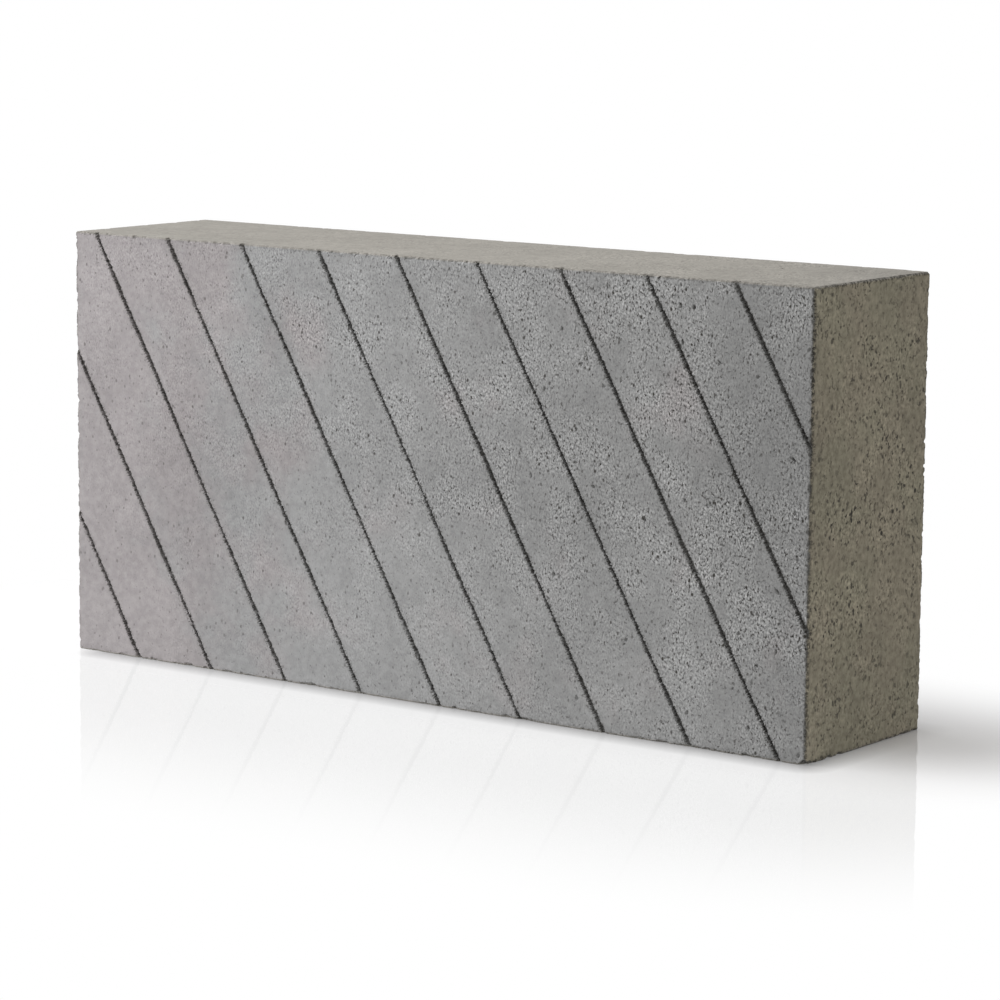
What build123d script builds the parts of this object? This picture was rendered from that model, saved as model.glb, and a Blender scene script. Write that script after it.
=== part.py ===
from build123d import *

import math
import os

# Aircrete wall block, one wire-cut piece, standing on its bed face as it is laid in a wall.
# Millimetres. Length along X, thickness along Y, height along Z.
# The origin is the middle of the bed face, and the keyed face looks towards -Y.

# Block
LENGTH = 440.0
THICKNESS = 100.0
HEIGHT = 215.0
ARRIS_RADIUS = 1.0

# Straight key lines, scored across the keyed face by round pins
SCORE_WIDTH = 1.8
SCORE_DEPTH = 2.0
SCORE_PITCH = 48.0
SCORE_LEAN = 30.0

# The cutter of a score stands out of the face and past its edges by this much
CUTTER_SPARE = 5.0


def wire_cut_body():
    """The whole block before it is scored, with the arrises worn round."""
    box = Box(LENGTH, THICKNESS, HEIGHT, align=(Align.CENTER, Align.CENTER, Align.MIN))
    return fillet(box.edges(), ARRIS_RADIUS)


def score_section():
    """A pin's track: straight walls on a half-round root, with the face at Y = 0."""
    root_radius = SCORE_WIDTH / 2
    root_centre = Pos(0, root_radius - SCORE_DEPTH)
    wall_height = SCORE_DEPTH - root_radius + CUTTER_SPARE
    walls = Rectangle(SCORE_WIDTH, wall_height, align=(Align.CENTER, Align.MIN))
    return root_centre * (walls + Circle(root_radius))


def score_planes():
    """A plane across each key line, at mid-height, with Y out of the face and Z along the line."""
    lean = math.radians(SCORE_LEAN)
    along = Vector(-math.sin(lean), 0, math.cos(lean))
    across = Vector(-math.cos(lean), 0, -math.sin(lean))
    half_run = HEIGHT / 2 * math.tan(lean)
    last = int((LENGTH / 2 + half_run) / SCORE_PITCH)
    for place in range(-last, last + 1):
        middle = Vector(place * SCORE_PITCH, -THICKNESS / 2, HEIGHT / 2)
        yield Plane(origin=middle, x_dir=across, z_dir=along)


def scored_block():
    """The block with every key line cut through to the edges of the keyed face."""
    reach = math.hypot(LENGTH, HEIGHT) / 2 + CUTTER_SPARE
    cutter = extrude(score_section(), reach, both=True)
    return wire_cut_body() - [plane * cutter for plane in score_planes()]


os.makedirs("parts", exist_ok=True)
export_step(scored_block().solid(), "parts/aircrete_block.step")
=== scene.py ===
import itertools
import math
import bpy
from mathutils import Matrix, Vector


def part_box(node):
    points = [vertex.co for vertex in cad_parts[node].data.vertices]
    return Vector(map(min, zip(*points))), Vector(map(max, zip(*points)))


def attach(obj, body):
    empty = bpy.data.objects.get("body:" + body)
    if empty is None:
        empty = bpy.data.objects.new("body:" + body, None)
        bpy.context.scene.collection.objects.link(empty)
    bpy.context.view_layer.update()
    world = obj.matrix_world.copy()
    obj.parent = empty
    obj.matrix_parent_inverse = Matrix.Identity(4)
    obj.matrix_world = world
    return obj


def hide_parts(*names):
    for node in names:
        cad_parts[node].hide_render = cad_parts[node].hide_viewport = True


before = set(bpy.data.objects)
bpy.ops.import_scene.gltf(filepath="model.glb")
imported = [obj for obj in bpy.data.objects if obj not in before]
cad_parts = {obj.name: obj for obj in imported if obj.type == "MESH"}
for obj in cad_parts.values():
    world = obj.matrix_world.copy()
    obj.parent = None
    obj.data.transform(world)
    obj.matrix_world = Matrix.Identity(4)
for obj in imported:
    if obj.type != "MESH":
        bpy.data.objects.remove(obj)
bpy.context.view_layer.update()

from types import SimpleNamespace

import bpy
import numpy as np
from mathutils import Matrix, Vector

# Looks of a wire-cut aircrete block: its worn arrises, crumbled key lines, open pores and matt grey finish.
# Metres, in the frame of the solid model. X is along the block, Y through it and Z up, and the keyed face
# looks towards -Y.

MM = 0.001
NODE = "aircrete_block"
LOW, HIGH = (np.array(corner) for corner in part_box(NODE))
MIDDLE = (LOW + HIGH) / 2

# Key lines, as they are cut in the solid
SCORE_WIDTH = 1.8 * MM
SCORE_DEPTH = 2.0 * MM
SCORE_PITCH = 48.0 * MM
SCORE_LEAN = math.radians(30)

# Wear of the key lines: wandering tracks, crumbled and nicked lips, and flared ends
SCORE_WANDER = 0.3 * MM
SCORE_WIDTH_CHANGE = 0.35
SCORE_DEPTH_CHANGE = 0.1
SCORE_WAVE = 40.0 * MM
SCORE_CRUMBLE = 0.35 * MM
SCORE_CRUMBLE_WAVE = 0.9 * MM
SCORE_NARROWING = 0.8
SCORE_NICK = 0.9 * MM
SCORE_NICK_WAVE = 1.1 * MM
SCORE_NICK_FROM = 0.35
SCORE_FLARE = 1.5 * MM
SCORE_FLARE_REACH = 2.5 * MM
SCORE_FLARE_SHARE = (0.6, 0.4)

# Wear of the arrises, the upright ones more than the level ones, and roughest round the keyed face
ARRIS_RADIUS = 1.0 * MM
ARRIS_REACH = 3.0 * MM
ARRIS_GRIT = 0.55 * MM
PLAIN_GRIT = 0.3 * MM
GRIT_WAVES = (0.9 * MM, 2.2 * MM)
ARRIS_SWAY = 0.4 * MM
ARRIS_SWAY_WAVE = 7.0 * MM
UPRIGHT_WEAR = 0.7 * MM
LEVEL_WEAR = 0.4 * MM
CHIP_SPACING = 13.0 * MM
CHIP_LENGTH = (2.0 * MM, 9.0 * MM)
CHIP_DEPTH = (0.5 * MM, 1.5 * MM)
CHIP_ROUGHNESS = 0.25
KNOCKED_CORNER = np.array([HIGH[0], LOW[1], LOW[2]])
KNOCK_REACH = np.array([-5.0, 12.0, 3.5]) * MM
KNOCK_NEAR = 1.5
KNOCK_ROUGHNESS = (0.25, 0.15)
KNOCK_WAVES = (1.2 * MM, 3.0 * MM)

# Open pores that are large enough to model, and the number tried on each square metre, by axis and side
PIT_RADIUS = (0.45 * MM, 1.1 * MM)
PIT_FEW_LARGE = 4
PIT_STRETCH = (1.0, 1.8)
PIT_TILT = (0.25, 0.45)
PIT_DEPTH = 0.9
PIT_DEPTH_CHANGE = (0.7, 1.3)
PIT_PATCH = 26.0 * MM
PIT_CHANCE = (-1.1, 0.5)
FEWER_PITS = 2.2
PITS = {
    (0, 0): 8000,
    (0, -1): 16000,
    (1, 0): 18000,
    (1, -1): 5000,
    (2, 0): 2000,
    (2, -1): 4000,
}

# The lattice that the relief is worked on, and the triangles that are kept of it
GRID_STEP = 0.5 * MM
ARRIS_STEP = 0.35 * MM
ARRIS_BAND = 4.2 * MM
SAME_SPOT = 0.02 * MM
ON_FACE = 0.1 * MM
MOST_TRIANGLES = 195000


# Noise

def scramble(cells, seed):
    """A number from -1 to 1 for each whole-number cell, the same on every run."""
    primes = np.array([73856093, 19349663, 83492791])[: cells.shape[-1]]
    mixed = ((cells * primes).sum(-1) + seed * 52711) & 0x7FFFFFFF
    for _ in range(2):
        mixed = ((mixed ^ (mixed >> 15)) * 668265263) & 0x7FFFFFFF
    return (mixed >> 8) / 2**22 - 1


def noise(points, cell, seed):
    """Smooth noise from -1 to 1, with one free value in each cell."""
    scaled = points / cell
    base = np.floor(scaled).astype(np.int64)
    share = scaled - base
    share = share * share * (3 - 2 * share)
    total = np.zeros(points.shape[:-1])
    for corner in itertools.product((0, 1), repeat=points.shape[-1]):
        weight = np.where(np.array(corner) == 1, share, 1 - share).prod(-1)
        total += weight * scramble(base + np.array(corner), seed)
    return total


# The lattice

def lattice_lines(start, stop):
    """Places along one axis, closer together beside the two arrises."""
    band = np.arange(0, ARRIS_BAND, ARRIS_STEP)
    inner_start = start + ARRIS_BAND
    inner_stop = stop - ARRIS_BAND
    inner = np.linspace(inner_start, inner_stop, round((inner_stop - inner_start) / GRID_STEP) + 1)
    return np.concatenate([start + band, inner, (stop - band)[::-1]])


def lattice_shell(lines):
    """The lattice places of the points on the six faces, and the quads that join those points."""
    counts = [len(line) for line in lines]
    on_face = np.zeros(counts, bool)
    for axis, side in itertools.product(range(3), (0, -1)):
        np.moveaxis(on_face, axis, 0)[side] = True
    number = np.full(counts, -1, np.int32)
    number[on_face] = np.arange(on_face.sum())
    quads = []
    for axis, side in itertools.product(range(3), (0, -1)):
        sheet = np.moveaxis(number, axis, 0)[side]
        corners = [sheet[:-1, :-1], sheet[1:, :-1], sheet[1:, 1:], sheet[:-1, 1:]]
        quad = np.stack(corners, -1).reshape(-1, 4)
        faces_out = (side == -1) != (axis == 1)
        quads.append(quad if faces_out else quad[:, ::-1])
    return np.argwhere(on_face), np.concatenate(quads)


# Relief of the faces, as depths below each face

def score_depth(x, z):
    """Depth of the key lines in the keyed face, with wandering tracks, crumbled lips and broken ends."""
    up = z - MIDDLE[2]
    across = x * math.cos(SCORE_LEAN) + up * math.sin(SCORE_LEAN)
    along = up * math.cos(SCORE_LEAN) - x * math.sin(SCORE_LEAN)
    spacing = SCORE_PITCH * math.cos(SCORE_LEAN)
    line = np.round(across / spacing)
    track = np.stack([along, line], -1)
    slow = np.array([SCORE_WAVE, 1])
    quick = np.array([SCORE_CRUMBLE_WAVE, 1])
    offset = across - line * spacing - SCORE_WANDER * noise(track, slow, 1)
    side = np.where(offset > 0, 1, 0)
    lip_track = np.stack([along, 2 * line + side], -1)
    half = SCORE_WIDTH / 2 * (1 + SCORE_WIDTH_CHANGE * noise(track, slow, 2))
    half = half + SCORE_CRUMBLE * (noise(lip_track, quick, 3) - SCORE_NARROWING)
    depth = SCORE_DEPTH * (1 + SCORE_DEPTH_CHANGE * noise(track, slow, 4))
    root = depth - half + np.sqrt(np.clip(half**2 - offset**2, 0, None))
    edge = np.minimum.reduce([x - LOW[0], HIGH[0] - x, z - LOW[2], HIGH[2] - z])
    nicks = noise(lip_track, np.array([SCORE_NICK_WAVE, 1]), 5)
    lip = SCORE_NICK * np.clip(nicks - SCORE_NICK_FROM, 0, None)
    middle, change = SCORE_FLARE_SHARE
    ragged = middle + change * noise(lip_track, quick, 6)
    lip = lip + SCORE_FLARE * np.exp(-edge / SCORE_FLARE_REACH) * ragged
    beside = np.clip(half + lip - np.abs(offset), 0, None)
    return np.where(np.abs(offset) < half, root, np.minimum(beside, depth - half))


def stamp_pits(depth, first, second, per_area, rng):
    """Presses open pores into a face's depths: shallow bowls, longer upright, in loose patches."""
    start = np.array([first[0], second[0]])
    stop = np.array([first[-1], second[-1]])
    count = int(per_area * (stop - start).prod())
    centres = rng.uniform(start, stop, (count, 2))
    sizes = PIT_RADIUS[0] + (PIT_RADIUS[1] - PIT_RADIUS[0]) * rng.random(count) ** PIT_FEW_LARGE
    stretches = rng.uniform(*PIT_STRETCH, count)
    tilts = rng.normal(*PIT_TILT, count)
    floors = PIT_DEPTH * sizes * rng.uniform(*PIT_DEPTH_CHANGE, count)
    share = (centres[:, 0] - start[0]) / (stop[0] - start[0])
    limit = rng.uniform(*PIT_CHANCE, count) + FEWER_PITS * (1 - share)
    kept = noise(centres, PIT_PATCH, 11) > limit
    for u, v, size, stretch, tilt, floor in np.c_[centres, sizes, stretches, tilts, floors][kept]:
        reach = stretch * size
        rows = slice(*np.searchsorted(first, [u - reach, u + reach]))
        columns = slice(*np.searchsorted(second, [v - reach, v + reach]))
        a = first[rows, None] - u
        b = second[None, columns] - v
        wide = (a * math.cos(tilt) + b * math.sin(tilt)) / (size / stretch)
        tall = (b * math.cos(tilt) - a * math.sin(tilt)) / (size * stretch)
        bowl = floor * np.sqrt(np.clip(1 - wide**2 - tall**2, 0, None))
        depth[rows, columns] = np.maximum(depth[rows, columns], bowl)


def face_depths(lines):
    """The depth of the relief on each face, by axis and side."""
    rng = np.random.default_rng(20)
    depths = {}
    for (axis, side), per_area in PITS.items():
        first, second = (lines[other] for other in range(3) if other != axis)
        depth = np.zeros((len(first), len(second)))
        stamp_pits(depth, first, second, per_area, rng)
        depths[axis, side] = depth
    keyed = depths[1, 0]
    x, z = np.meshgrid(lines[0], lines[2], indexing="ij")
    depths[1, 0] = np.maximum(keyed, score_depth(x, z))
    return depths


def press_in(points, places, depths):
    """Moves every point inwards to the relief of the faces that it lies on or beside."""
    for (axis, side), depth in depths.items():
        first, second = (places[:, other] for other in range(3) if other != axis)
        inset = depth[first, second]
        if side == 0:
            points[:, axis] = np.maximum(points[:, axis], LOW[axis] + inset)
        else:
            points[:, axis] = np.minimum(points[:, axis], HIGH[axis] - inset)


# Wear of the arrises

def round_arrises(points):
    """Wears the arrises and corners round."""
    core = np.clip(points, LOW + ARRIS_RADIUS, HIGH - ARRIS_RADIUS)
    out = points - core
    length = np.linalg.norm(out, axis=1, keepdims=True)
    points[:] = core + out * np.minimum(1, ARRIS_RADIUS / np.maximum(length, 1e-9))


def chip_arris(points, along, ends, rng, seed):
    """Breaks small flakes and grit off one arris, which runs along an axis between the given two faces."""
    outward = np.zeros(3)
    corner = np.zeros(3)
    for axis, side in ends.items():
        outward[axis] = math.sqrt(0.5) * (1 if side else -1)
        corner[axis] = HIGH[axis] if side else LOW[axis]
    height = (points - corner) @ outward
    near = np.flatnonzero(height > -ARRIS_REACH)
    place = points[near, along]
    fine, coarse = GRIT_WAVES
    grit = noise(points[near], fine, seed) + noise(points[near], coarse, seed + 100)
    sway = noise(points[near], ARRIS_SWAY_WAVE, seed + 200)
    wear = UPRIGHT_WEAR if along == 2 else LEVEL_WEAR
    keyed = ends.get(1) == 0
    cut = wear + (ARRIS_GRIT if keyed else PLAIN_GRIT) * grit + ARRIS_SWAY * sway
    length = HIGH[along] - LOW[along]
    for _ in range(round(length / CHIP_SPACING)):
        centre = rng.uniform(LOW[along], HIGH[along])
        half = rng.uniform(*CHIP_LENGTH) / 2
        deep = rng.uniform(*CHIP_DEPTH)
        flake = deep * np.sqrt(np.clip(1 - ((place - centre) / half) ** 2, 0, None))
        cut = np.maximum(cut, flake * (1 + CHIP_ROUGHNESS * grit))
    over = np.clip(height[near] + cut, 0, None)
    points[near] -= over[:, None] * outward


def chip_arrises(points):
    """Breaks flakes off all twelve arrises."""
    rng = np.random.default_rng(41)
    seed = 200
    for along in range(3):
        others = [axis for axis in range(3) if axis != along]
        for sides in itertools.product((0, 1), repeat=2):
            chip_arris(points, along, dict(zip(others, sides)), rng, seed)
            seed += 1


def knock_corner(points):
    """Breaks one corner off, on a rough slanting plane."""
    inward = (points - KNOCKED_CORNER) / KNOCK_REACH
    near = np.flatnonzero(inward.sum(1) < KNOCK_NEAR)
    fine, coarse = (noise(points[near], wave, 31 + step) for step, wave in enumerate(KNOCK_WAVES))
    rough = KNOCK_ROUGHNESS[0] * fine + KNOCK_ROUGHNESS[1] * coarse
    short = np.clip(1 + rough - inward[near].sum(1), 0, None)
    points[near] += short[:, None] * KNOCK_REACH / 3


# The block's mesh

def block_points():
    """The points and quads of the worn block, on the fine lattice."""
    lines = [lattice_lines(LOW[axis], HIGH[axis]) for axis in range(3)]
    places, quads = lattice_shell(lines)
    points = np.stack([lines[axis][places[:, axis]] for axis in range(3)], -1)
    press_in(points, places, face_depths(lines))
    round_arrises(points)
    chip_arrises(points)
    knock_corner(points)
    return points, quads


def welded(points, quads):
    """Joins the points that share a spot, and splits the quads into triangles that have three points."""
    spots = np.round((points - LOW) / SAME_SPOT).astype(np.int64)
    reach = spots.max() + 1
    keys = (spots[:, 0] * reach + spots[:, 1]) * reach + spots[:, 2]
    _, first, joined = np.unique(keys, return_index=True, return_inverse=True)
    corners = joined[np.concatenate([quads[:, [0, 1, 2]], quads[:, [0, 2, 3]]])]
    a, b, c = corners.T
    whole = (a != b) & (b != c) & (c != a)
    return points[first], corners[whole]


def block_mesh():
    """The worn block as one closed mesh on the fine lattice."""
    points, triangles = welded(*block_points())
    mesh = bpy.data.meshes.new("block_surface")
    mesh.vertices.add(len(points))
    mesh.vertices.foreach_set("co", points.astype(np.float32).ravel())
    mesh.loops.add(triangles.size)
    mesh.loops.foreach_set("vertex_index", triangles.astype(np.int32).ravel())
    mesh.polygons.add(len(triangles))
    mesh.polygons.foreach_set("loop_start", np.arange(0, triangles.size, 3, dtype=np.int32))
    mesh.update(calc_edges=True)
    return mesh


def flatten(mesh):
    """Puts the points that lie just beside a face back on it."""
    places = np.empty(3 * len(mesh.vertices), np.float32)
    mesh.vertices.foreach_get("co", places)
    points = places.reshape(-1, 3)
    for face in (LOW, HIGH):
        points[:] = np.where(np.abs(points - face) < ON_FACE, face, points)
    mesh.vertices.foreach_set("co", places)
    mesh.update()


def block_piece(material):
    """The shown block, which stands for the plain solid."""
    mesh = block_mesh()
    piece = bpy.data.objects.new("block_surface", mesh)
    bpy.context.scene.collection.objects.link(piece)
    fewer = piece.modifiers.new("fewer_triangles", "DECIMATE")
    fewer.ratio = min(1, MOST_TRIANGLES / len(mesh.polygons))
    shown = piece.evaluated_get(bpy.context.evaluated_depsgraph_get())
    kept = bpy.data.meshes.new_from_object(shown)
    piece.modifiers.clear()
    piece.data = kept
    bpy.data.meshes.remove(mesh)
    kept.name = "block_surface"
    kept.validate()
    flatten(kept)
    kept.shade_flat()
    kept.materials.clear()
    kept.materials.append(material)
    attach(piece, "root")
    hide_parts(NODE)
    return piece


# Nodes

class NodeTree:
    """A node tree that is built one linked node at a time."""

    def __init__(self, owner):
        owner.use_nodes = True
        self.tree = owner.node_tree
        self.tree.nodes.clear()

    def add(self, kind, inputs, output=0, **settings):
        """A new node with its sockets set or linked by name or number. Gives back one of its outputs."""
        node = self.tree.nodes.new(kind)
        for name, value in settings.items():
            setattr(node, name, value)
        for name, value in inputs.items():
            if isinstance(value, bpy.types.NodeSocket):
                self.tree.links.new(value, node.inputs[name])
            else:
                node.inputs[name].default_value = value
        return node.outputs[output] if len(node.outputs) else node

    def math(self, operation, *values):
        """A Math node on one to three values."""
        return self.add("ShaderNodeMath", dict(enumerate(values)), operation=operation)

    def remap(self, value, start, stop, low=0.0, high=1.0):
        """A smooth step of a value, from low at start to high at stop."""
        inputs = {0: value, 1: start, 2: stop, 3: low, 4: high}
        return self.add("ShaderNodeMapRange", inputs, interpolation_type="SMOOTHSTEP")

    def ramp(self, value, start, stop, low=0.0, high=1.0):
        """A straight step of a value, from low at start to high at stop."""
        return self.add("ShaderNodeMapRange", {0: value, 1: start, 2: stop, 3: low, 4: high})

    def mix(self, share, first, second):
        """A mix of two colours."""
        inputs = {0: share, 6: first, 7: second}
        return self.add("ShaderNodeMix", inputs, output=2, data_type="RGBA")

    def turn(self, share, first, second):
        """A mix of two vectors."""
        inputs = {0: share, 4: first, 5: second}
        return self.add("ShaderNodeMix", inputs, output=1, data_type="VECTOR")

    def noise(self, vector, scale, detail=2.0, roughness=0.5):
        """Noise from 0 to 1, with scale in waves to each unit of the vector."""
        inputs = {"Vector": vector, "Scale": scale, "Detail": detail, "Roughness": roughness}
        return self.add("ShaderNodeTexNoise", inputs)


# The material of the block. A WAVE is a length in millimetres, and WAVES are a number to each millimetre.
# Spans and bands are places or depths in metres. OPENNESS, STROKE_FROM, LEVEL_SHADE, TORN_ARRIS and
# HOLLOW_SHADE are each a factor and what is added.

# Colours: walls cool to rosy, right end olive to brown, left end dun, then the beds, and the dark that
# paints shade into hollows, open pores and broken arrises. The right end's olive to brown is partly its own
# warm tint and partly the warm cast of its shade, painted in; the left end is dun.
COOL = (0.3378, 0.3435, 0.3488, 1)
ROSY = (0.356, 0.338, 0.344, 1)
OLIVE = (0.371, 0.348, 0.277, 1)
BROWN = (0.381, 0.348, 0.281, 1)
DUN = (0.342, 0.331, 0.303, 1)
BED_TINT = (0.371, 0.357, 0.331, 1)
# Dark painted as shade into hollows, open pores and broken arrises
PAINTED_SHADE_COLOUR = (0.075, 0.072, 0.066, 1)
TINT_WAVE = 45
ROSY_SPAN = (-0.22, 0.0)
ROSY_LEAN = (0.22, -0.2)
ROSY_EDGES = (0.34, 0.66)
BROWN_EDGES = (0.4, 0.6)
MIDWAY = (-0.01, 0.01)
FACE_BAND = (1.2 * MM, 0.3 * MM)

# Tearing by the wire: more to the right and up the block, in patches, and less at the foot and on the beds
TEAR_RISE = 0.5
TEAR_SPAN = (-0.186, 0.224)
TEAR_SHARE = (0.08, 1.05)
END_TEAR = 0.86
BED_TEAR = 0.45
PATCH_WAVE = 24
PATCH_EDGES = (0.36, 0.64)
PATCH_TEAR = (0.38, 1.6)
FOOT_SPAN = (0.02, 0.07)
FOOT_TEAR = (0.75, 1.0)
OPENNESS = (0.68, 0.42)

# Spots of the keyed face that the wire tore more or less: place along and up, reach, and share of tearing
TORN_SPOTS = [
    (0.19, 0.09, 0.10, 1.25),
    (0.03, 0.125, 0.07, 1.4),
    (-0.055, 0.15, 0.05, 1.4),
    (0.195, 0.155, 0.06, 0.65),
    (-0.067, 0.09, 0.05, 0.7),
]

# Grain and fine pores: strokes that lean on the walls and stand upright on the ends, and specks. They are
# drawn on millimetres that WALL_GRAIN or END_GRAIN has scaled.
GRAIN_LEAN = math.radians(-16)
WALL_GRAIN = (1.0, 0.6, 0.72)
END_GRAIN = (0.6, 0.6, 0.55)
GRAIN_WAVES = 1.1
GRAIN_EDGES = (0.2, 0.8)
STROKE_WAVES = 0.8
STROKE_FROM = (0.06, 0.345)
STROKE_EDGE = 0.1
STROKE_SHARE = 0.85
SPECK_SPACING = 3.0
SPECK_RADIUS = (0.35, 0.85)
SPECK_FLOOR = 0.45
SPECK_EDGES = (0.3, 0.75)
SPECK_SHARE = (0.1, 0.45)

# Cracks beside the key lines
BARB_REACH = (1.4 * SCORE_WIDTH, 0.5 * SCORE_WIDTH)
BARB_BAND = (LOW[1] + 4 * MM, LOW[1] + 3 * MM)
BARB_SIZE = (2.0, 2.0, 0.7)
BARB_EDGES = (0.48, 0.40)

# Paleness, with one share for the walls and one for the ends where there are both
GRAIN_SWING = (-0.52, 0.76)
SWING_SHARE = (1.0, 0.5)
BLOTCH_WAVE = 3.5
BLOTCH_EDGES = (0.25, 0.75)
BLOTCH_DARKEST = (0.91, 0.82)
BLOTCH_PALEST = (1.08, 1.14)
CLOUD_WAVE = 40
CLOUD_EDGES = (0.3, 0.7)
CLOUD_SHARE = (0.98, 1.07)
# Painted shade that darkens the walls and beds towards the right end, but not the ends
FAR_SPAN = (0.12, 0.22)
FAR_PAINTED_SHADE = (1.0, 0.93)
# Share of painted shade inside open pores and cracks, on the walls and on the ends
PORE_SHADE = (0.78, 0.65)

# Faint pale and dark spots of the keyed face, partly stains and partly painted light: the pale ones at the
# foot are painted light from the floor. Place along and up, reach, and share of the paleness
STAINS_AND_PAINTED_LIGHT = [
    (-0.20, 0.147, 0.03, 0.91),
    (-0.15, 0.10, 0.055, 0.93),
    (-0.03, 0.02, 0.12, 1.09),
    (-0.03, 0.18, 0.06, 1.07),
    (0.03, 0.115, 0.045, 0.93),
    (0.10, 0.12, 0.06, 0.94),
    (0.20, 0.13, 0.055, 0.88),
    (0.14, 0.01, 0.06, 1.08),
]

# Shade painted dark into the colour along the broken arrises and in deep hollows
CRUMB_WAVES = 0.55
CRUMB_EDGES = (0.56, 0.44)
BROKEN_BAND = (2.2 * MM, 0.8 * MM)
LEVEL_BAND = (2 * MM, 5 * MM)
LEVEL_SHADE = (0.45, 0.38)
UPRIGHT_SPAN = (0.11, 0.18)
UPRIGHT_SHADE = (0.65, 1.0)
TORN_ARRIS = (0.6, 0.3)
HOLLOW_BAND = (0.2 * MM, 1.5 * MM)
HOLLOW_SHADE = (0.15, 0.45)

# Finish
GRAIN_RELIEF = 0.5
BUMP_DEPTH = 0.4 * MM
BUMP_STRENGTH = 0.7
MATTNESS = (0.86, 0.98)
SPECULAR = 0.1


def pores(nodes, vector, spacing, radius, share):
    """Bubbles cut open by the wire, as 1 inside a pore and 0 outside. Sizes are in the vector's units."""
    inputs = {"Vector": vector, "Scale": 1 / spacing, "Randomness": 1.0}
    distance = nodes.add("ShaderNodeTexVoronoi", inputs, output="Distance")
    colour = distance.node.outputs["Color"]
    separate = nodes.add("ShaderNodeSeparateColor", {0: colour}, output="Red")
    chance = separate.node.outputs["Green"]
    smallest, largest = (value / spacing for value in radius)
    rim = nodes.ramp(separate, 0, 1, smallest, largest)
    floor = nodes.math("MULTIPLY", rim, SPECK_FLOOR)
    open_here = nodes.math("LESS_THAN", chance, share)
    inside = nodes.remap(distance, rim, floor)
    return nodes.math("MULTIPLY", inside, open_here)


def depths_below_faces(nodes, coordinates):
    """Depth of a point below the nearest face of each pair, in metres: ends, wall faces and beds."""
    apart = nodes.add("ShaderNodeVectorMath", {0: coordinates, 1: tuple(MIDDLE)}, operation="SUBTRACT")
    spread = nodes.add("ShaderNodeVectorMath", {0: apart}, operation="ABSOLUTE")
    half = tuple((HIGH - LOW) / 2)
    below = nodes.add("ShaderNodeVectorMath", {0: half, 1: spread}, operation="SUBTRACT")
    return nodes.add("ShaderNodeSeparateXYZ", {0: below}).node.outputs


def spotted(nodes, value, coordinates, spots):
    """A value times each spot's share, which goes to 1 at the spot's reach."""
    for along, up, reach, share in spots:
        inputs = {0: coordinates, 1: (along, LOW[1], up)}
        distance = nodes.add("ShaderNodeVectorMath", inputs, output="Value", operation="DISTANCE")
        value = nodes.math("MULTIPLY", value, nodes.remap(distance, reach, reach / 4, 1.0, share))
    return value


def score_barbs(nodes, place):
    """Short cracks that stand out from the lips of the key lines, on the keyed face only."""
    up = nodes.math("SUBTRACT", place.z, MIDDLE[2])
    across = nodes.math("MULTIPLY_ADD", up, math.tan(SCORE_LEAN), place.x)
    across = nodes.math("MULTIPLY", across, math.cos(SCORE_LEAN))
    offset = nodes.math("PINGPONG", across, SCORE_PITCH * math.cos(SCORE_LEAN) / 2)
    lips = nodes.remap(offset, *BARB_REACH)
    lips = nodes.math("MULTIPLY", lips, nodes.remap(place.y, *BARB_BAND))
    crossways = {"Vector": place.millimetres, "Rotation": (0, -SCORE_LEAN, 0), "Scale": BARB_SIZE}
    crossways = nodes.add("ShaderNodeMapping", crossways, vector_type="TEXTURE")
    cracks = nodes.remap(nodes.noise(crossways, 1.0, detail=1), *BARB_EDGES)
    return nodes.math("MULTIPLY", lips, cracks)


def place_on_block(nodes):
    """Where a point lies: its coordinates, its depths below the faces, and its shares of end and bed."""
    coordinates = nodes.add("ShaderNodeTexCoord", {}, output="Object")
    x, y, z = nodes.add("ShaderNodeSeparateXYZ", {0: coordinates}).node.outputs
    from_end, from_wall, from_bed = depths_below_faces(nodes, coordinates)
    nearest_side = nodes.math("MINIMUM", from_end, from_wall)
    other_side = nodes.math("MINIMUM", nodes.math("MAXIMUM", from_end, from_wall), from_bed)
    return SimpleNamespace(
        coordinates=coordinates,
        millimetres=nodes.add("ShaderNodeVectorMath", {0: coordinates, "Scale": 1 / MM}, operation="SCALE"),
        x=x,
        y=y,
        z=z,
        from_bed=from_bed,
        depth=nodes.math("MINIMUM", nearest_side, from_bed),
        second_depth=nodes.math("MAXIMUM", nearest_side, other_side),
        ends=nodes.remap(from_end, *FACE_BAND),
        beds=nodes.remap(from_bed, *FACE_BAND),
    )


def tearing(nodes, place):
    """How hard the wire tore a place: by region, with its patches, and as the openness of its pores."""
    patches = nodes.noise(place.millimetres, 1 / PATCH_WAVE, detail=3)
    slanting = nodes.math("MULTIPLY_ADD", place.z, TEAR_RISE, place.x)
    region = nodes.ramp(slanting, *TEAR_SPAN, *TEAR_SHARE)
    region = nodes.math("MAXIMUM", region, nodes.math("MULTIPLY", place.ends, END_TEAR))
    harshness = nodes.math("MULTIPLY", region, nodes.remap(patches, *PATCH_EDGES, *PATCH_TEAR))
    harshness = nodes.math("MULTIPLY", harshness, nodes.remap(place.z, *FOOT_SPAN, *FOOT_TEAR))
    harshness = spotted(nodes, harshness, place.coordinates, TORN_SPOTS)
    openness = nodes.math("MULTIPLY_ADD", harshness, *OPENNESS)
    calm_beds = nodes.remap(place.beds, 0, 1, 1.0, BED_TEAR)
    return SimpleNamespace(
        patches=patches,
        region=region,
        harshness=nodes.math("MULTIPLY", harshness, calm_beds),
        openness=nodes.math("MULTIPLY", openness, calm_beds),
    )


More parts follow.
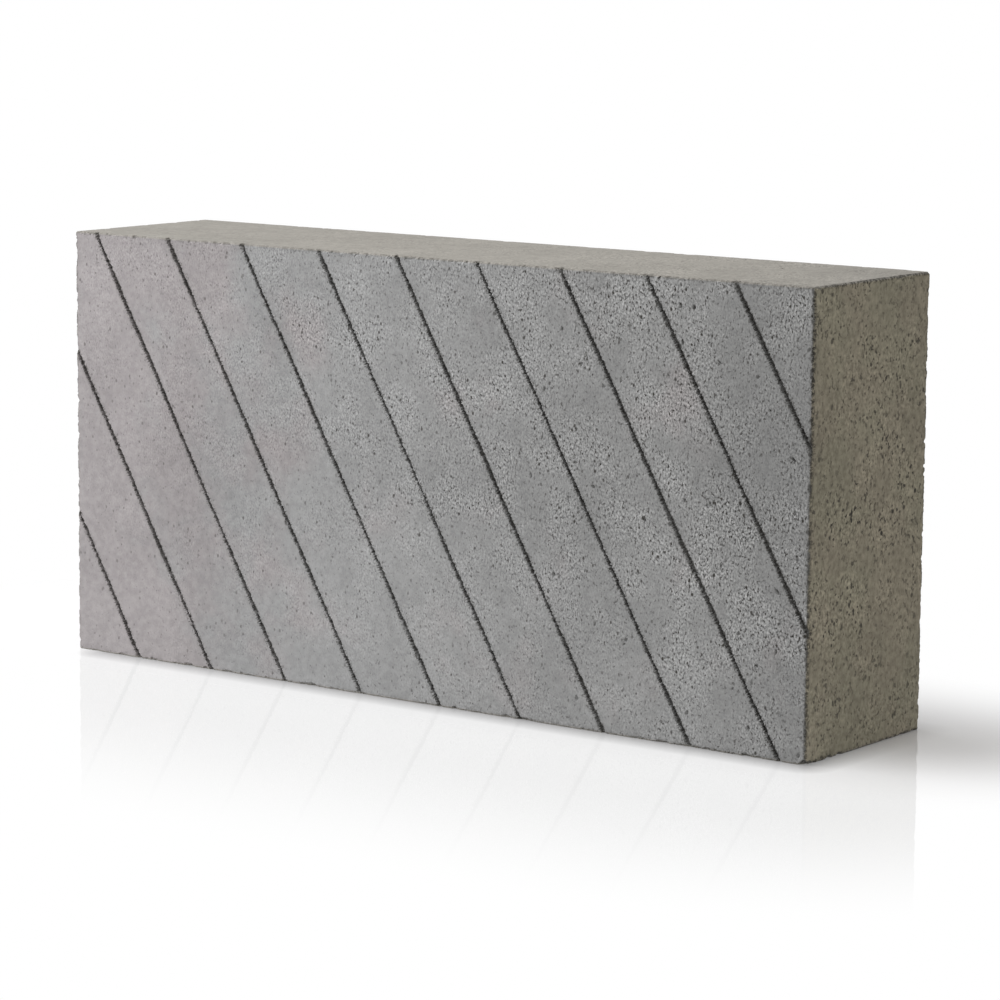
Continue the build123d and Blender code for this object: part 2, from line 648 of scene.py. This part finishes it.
def grain_and_pores(nodes, place, tear):
    """The grain, and the open pores: torn strokes, round specks and the cracks beside the key lines."""
    leaning = {"Vector": place.millimetres, "Rotation": (0, GRAIN_LEAN, 0), "Scale": WALL_GRAIN}
    upright = {"Vector": place.millimetres, "Scale": END_GRAIN}
    leaning, upright = (nodes.add("ShaderNodeMapping", mapping) for mapping in (leaning, upright))
    drawn = nodes.turn(place.ends, leaning, upright)
    grain = nodes.noise(drawn, GRAIN_WAVES, detail=1.0, roughness=0.6)
    torn = nodes.noise(drawn, STROKE_WAVES, detail=1.0)
    torn_from = nodes.math("MULTIPLY_ADD", tear.region, *STROKE_FROM)
    strokes = nodes.remap(torn, torn_from, nodes.math("SUBTRACT", torn_from, STROKE_EDGE))
    speck_share = nodes.remap(tear.patches, *SPECK_EDGES, *SPECK_SHARE)
    specks = pores(nodes, drawn, SPECK_SPACING, SPECK_RADIUS, speck_share)
    opened = nodes.math("MAXIMUM", nodes.math("MULTIPLY", strokes, STROKE_SHARE), specks)
    opened = nodes.math("MULTIPLY", opened, tear.openness)
    return grain, nodes.math("MAXIMUM", opened, score_barbs(nodes, place))


def ground_colour(nodes, place):
    """The colour between the pores, with soft patches of tint, and on the right end the warm cast of its
    shade painted in.
    """
    tints = nodes.noise(place.millimetres, 1 / TINT_WAVE, detail=3, roughness=0.6)
    rosy = nodes.math("ADD", tints, nodes.remap(place.x, *ROSY_SPAN, *ROSY_LEAN))
    walls = nodes.mix(nodes.remap(rosy, *ROSY_EDGES), COOL, ROSY)
    # The right end: its own warm tint with the warm cast of its shade painted in, olive to brown in patches
    right_end_with_painted_shade = nodes.mix(nodes.remap(tints, *BROWN_EDGES), OLIVE, BROWN)
    ends = nodes.mix(nodes.remap(place.x, *MIDWAY), DUN, right_end_with_painted_shade)
    sides = nodes.mix(place.ends, walls, ends)
    return nodes.mix(place.beds, sides, BED_TINT)


def paleness(nodes, place, tear, grain):
    """How pale the ground is: clouds, blotches, faint stains with painted light in spots, and the grain,
    with painted shade that makes it duller at the far right.
    """
    swing = nodes.ramp(grain, *GRAIN_EDGES, *GRAIN_SWING)
    swing = nodes.math("MULTIPLY", swing, tear.harshness)
    swing = nodes.math("MULTIPLY", swing, nodes.remap(place.ends, 0, 1, *SWING_SHARE))
    blotches = nodes.noise(place.millimetres, 1 / BLOTCH_WAVE, detail=2)
    darkest, palest = (nodes.remap(place.ends, 0, 1, *share) for share in (BLOTCH_DARKEST, BLOTCH_PALEST))
    mottle = nodes.remap(blotches, *BLOTCH_EDGES, darkest, palest)
    clouds = nodes.noise(place.millimetres, 1 / CLOUD_WAVE, detail=2)
    shade = nodes.math("MULTIPLY", nodes.remap(clouds, *CLOUD_EDGES, *CLOUD_SHARE), mottle)
    # Stains and painted light, in spots on the keyed face
    shade = nodes.math("ADD", spotted(nodes, shade, place.coordinates, STAINS_AND_PAINTED_LIGHT), swing)
    # Painted shade towards the right end, kept off the ends
    far = nodes.math("MAXIMUM", nodes.remap(place.x, *FAR_SPAN, *FAR_PAINTED_SHADE), place.ends)
    return nodes.math("MULTIPLY", shade, far)


def painted_arris_shade(nodes, place, tear):
    """The share of painted shade along the broken arrises, broken into crumbs, more of it on the upright and
    the torn ones.
    """
    crumbs = nodes.noise(place.millimetres, CRUMB_WAVES, detail=2, roughness=0.7)
    broken = nodes.remap(place.second_depth, *BROKEN_BAND)
    broken = nodes.math("MULTIPLY", broken, nodes.remap(crumbs, *CRUMB_EDGES))
    level = nodes.math("MULTIPLY_ADD", place.ends, *LEVEL_SHADE)
    upright = nodes.remap(place.z, *UPRIGHT_SPAN, *UPRIGHT_SHADE)
    broken = nodes.math("MULTIPLY", broken, nodes.remap(place.from_bed, *LEVEL_BAND, level, upright))
    return nodes.math("MULTIPLY", broken, nodes.math("MULTIPLY_ADD", tear.region, *TORN_ARRIS))


def aircrete():
    """Matt grey aircrete: mottled and gritty with open pores, warmer ends and beds, with shade painted dark
    into its hollows, pores and broken arrises.
    """
    material = bpy.data.materials.new("aircrete_looks")
    nodes = NodeTree(material)
    place = place_on_block(nodes)
    tear = tearing(nodes, place)
    grain, opened = grain_and_pores(nodes, place, tear)
    ground = {0: ground_colour(nodes, place), "Scale": paleness(nodes, place, tear, grain)}
    colour = nodes.add("ShaderNodeVectorMath", ground, operation="SCALE")
    # Painted shade inside open pores and cracks
    painted_pore_shade = nodes.math("MULTIPLY", opened, nodes.remap(place.ends, 0, 1, *PORE_SHADE))
    # Painted shade in deep hollows such as the key lines, darker where the wire tore more
    deepest = nodes.math("MULTIPLY_ADD", tear.region, *HOLLOW_SHADE)
    painted_hollow_shade = nodes.remap(place.depth, *HOLLOW_BAND, 0.0, deepest)
    # Each painted shade darkens the colour towards the dark of shade
    for dark in (painted_pore_shade, painted_arris_shade(nodes, place, tear), painted_hollow_shade):
        colour = nodes.mix(dark, colour, PAINTED_SHADE_COLOUR)
    relief = nodes.math("SUBTRACT", nodes.math("MULTIPLY", grain, GRAIN_RELIEF), opened)
    bump = nodes.add("ShaderNodeBump", {"Height": relief, "Distance": BUMP_DEPTH, "Strength": BUMP_STRENGTH})
    shader = {
        "Base Color": colour,
        "Roughness": nodes.remap(grain, *GRAIN_EDGES, *MATTNESS),
        "Normal": bump,
        "Specular IOR Level": SPECULAR,
    }
    surface = nodes.add("ShaderNodeBsdfPrincipled", shader)
    nodes.add("ShaderNodeOutputMaterial", {"Surface": surface})
    return material


# Stage: a pale floor with the block's shadow behind it, a soft painted shade at its foot and a faint mirror
# image

FLOOR_SIZE = 12.0
FLOOR_GREY = (0.62, 0.61, 0.59, 1)
FLOOR_PALE = (0.95, 0.945, 0.975, 1)
FLOOR_GLOW = 0.12
FLOOR_SHINE = 0.17
MIRROR_ROUGHNESS = 0.03
SHADE_CENTRE = (0.0, 0.0375, 0.0)
SHADE_HALF = (0.26, 0.0075, 0.0)
SHADE_FADE = (0.0, 0.13)
# Painted shade round the block's foot, where the shown white dims
CONTACT_CENTRE = (0.010, 0.0, 0.0)
CONTACT_HALF = (0.210, 0.05, 0.0)
CONTACT_FADE = (0.0, 0.016)
PAINTED_FOOT_SHADE = 0.38
MIRROR_FADE = (0.08, 0.27)
WHITE = (1, 1, 1, 1)


def sees_white(nodes):
    """1 for the rays that show the background: camera, mirror and glass rays."""
    path = nodes.add("ShaderNodeLightPath", {}, output="Is Camera Ray")
    outputs = path.node.outputs
    either = nodes.math("MAXIMUM", path, outputs["Is Glossy Ray"])
    return nodes.math("MAXIMUM", either, outputs["Is Transmission Ray"])


def distance_outside(nodes, centre, half):
    """How far a point of the floor lies outside a level box."""
    coordinates = nodes.add("ShaderNodeTexCoord", {}, output="Object")
    apart = nodes.add("ShaderNodeVectorMath", {0: coordinates, 1: centre}, operation="SUBTRACT")
    spread = nodes.add("ShaderNodeVectorMath", {0: apart}, operation="ABSOLUTE")
    outside = nodes.add("ShaderNodeVectorMath", {0: spread, 1: half}, operation="SUBTRACT")
    outside = nodes.add("ShaderNodeVectorMath", {0: outside, 1: (0, 0, 0)}, operation="MAXIMUM")
    return nodes.add("ShaderNodeVectorMath", {0: outside}, output="Value", operation="LENGTH")


def floor_material():
    """Pale floor that shows white, keeps the block's shadow and mirrors it faintly, with a painted shade
    round the block's foot.
    """
    material = bpy.data.materials.new("pale_floor")
    nodes = NodeTree(material)
    shown = sees_white(nodes)
    colour = nodes.mix(shown, FLOOR_GREY, FLOOR_PALE)
    matt = nodes.add("ShaderNodeBsdfDiffuse", {"Color": colour})
    gloss = nodes.add("ShaderNodeBsdfAnisotropic", {"Color": WHITE, "Roughness": MIRROR_ROUGHNESS})
    from_shade = distance_outside(nodes, SHADE_CENTRE, SHADE_HALF)
    from_block = distance_outside(nodes, tuple(MIDDLE), tuple((HIGH - LOW) / 2))
    from_foot = distance_outside(nodes, CONTACT_CENTRE, CONTACT_HALF)
    # Painted shade: the shown white dims towards the block's foot
    foot = nodes.ramp(from_foot, *CONTACT_FADE, PAINTED_FOOT_SHADE, 1.0)
    white = nodes.add("ShaderNodeEmission", {"Color": WHITE, "Strength": foot})
    clear = nodes.math("MULTIPLY", nodes.remap(from_shade, *SHADE_FADE, FLOOR_GLOW, 1.0), shown)
    plain = nodes.add("ShaderNodeMixShader", {0: clear, 1: matt, 2: white})
    shine = nodes.remap(from_block, *MIRROR_FADE, FLOOR_SHINE, 0.0)
    surface = nodes.add("ShaderNodeMixShader", {0: shine, 1: plain, 2: gloss})
    nodes.add("ShaderNodeOutputMaterial", {"Surface": surface})
    return material


def make_floor():
    """A wide floor under the block."""
    mesh = bpy.data.meshes.new("floor")
    half = FLOOR_SIZE / 2
    corners = [(-half, -half, 0), (half, -half, 0), (half, half, 0), (-half, half, 0)]
    mesh.from_pydata(corners, [], [(0, 1, 2, 3)])
    mesh.materials.append(floor_material())
    floor = bpy.data.objects.new("floor", mesh)
    bpy.context.scene.collection.objects.link(floor)


WORLD_COLOUR = (1.0, 0.98, 0.93, 1)
WORLD_STRENGTH = 0.385


def make_world():
    """Soft warm light from all round, behind a background that shows white."""
    world = bpy.data.worlds.new("studio")
    bpy.context.scene.world = world
    nodes = NodeTree(world)
    light = nodes.add("ShaderNodeBackground", {"Color": WORLD_COLOUR, "Strength": WORLD_STRENGTH})
    white = nodes.add("ShaderNodeBackground", {"Color": WHITE, "Strength": 1.0})
    surface = nodes.add("ShaderNodeMixShader", {0: sees_white(nodes), 1: light, 2: white})
    nodes.add("ShaderNodeOutputWorld", {"Surface": surface})


def make_lamp(name, place, target, size, watts, colour):
    """A square soft lamp that looks at a point."""
    lamp = bpy.data.lights.new(name, "AREA")
    lamp.size = size
    lamp.energy = watts
    lamp.color = colour
    holder = bpy.data.objects.new(name, lamp)
    holder.location = place
    away = Vector(place) - Vector(target)
    holder.rotation_euler = away.to_track_quat("Z", "Y").to_euler()
    bpy.context.scene.collection.objects.link(holder)


KEY_PLACE = (-0.70, -0.40, 0.26)
KEY_SIZE = 0.45
KEY_WATTS = 3.7
KEY_COLOUR = (0.98, 0.97, 1.0)
TOP_PLACE = (-0.35, -0.30, 1.5)
TOP_SIZE = 1.0
TOP_WATTS = 11.6
TOP_COLOUR = (1.0, 0.99, 0.98)


def make_lamps():
    """A key lamp at the front left and a wide lamp overhead."""
    middle = tuple(MIDDLE)
    make_lamp("key_lamp", KEY_PLACE, middle, KEY_SIZE, KEY_WATTS, KEY_COLOUR)
    make_lamp("top_lamp", TOP_PLACE, middle, TOP_SIZE, TOP_WATTS, TOP_COLOUR)


# Camera

CAMERA_AZIMUTH = math.radians(36.43)
CAMERA_ELEVATION = math.radians(8.77)
CAMERA_ROLL = math.radians(0.49)
CAMERA_DISTANCE = 1.853
CAMERA_TARGET = Vector((0.012, 0.0, 0.0941))
CAMERA_SENSOR = 36.0
CAMERA_LENS = 137.2


def make_camera():
    """A long lens that looks a little down on the keyed face and the right end."""
    camera = bpy.data.cameras.new("camera")
    camera.sensor_width = CAMERA_SENSOR
    camera.lens = CAMERA_LENS
    holder = bpy.data.objects.new("camera", camera)
    level = math.cos(CAMERA_ELEVATION)
    back = Vector(
        (math.sin(CAMERA_AZIMUTH) * level, -math.cos(CAMERA_AZIMUTH) * level, math.sin(CAMERA_ELEVATION))
    )
    turn = back.to_track_quat("Z", "Y").to_matrix().to_4x4()
    place = Matrix.Translation(CAMERA_TARGET + back * CAMERA_DISTANCE)
    holder.matrix_world = place @ turn @ Matrix.Rotation(CAMERA_ROLL, 4, "Z")
    bpy.context.scene.collection.objects.link(holder)
    bpy.context.scene.camera = holder


block_piece(aircrete())
make_floor()
make_world()
make_lamps()
make_camera()
bpy.context.scene.view_settings.view_transform = "Standard"
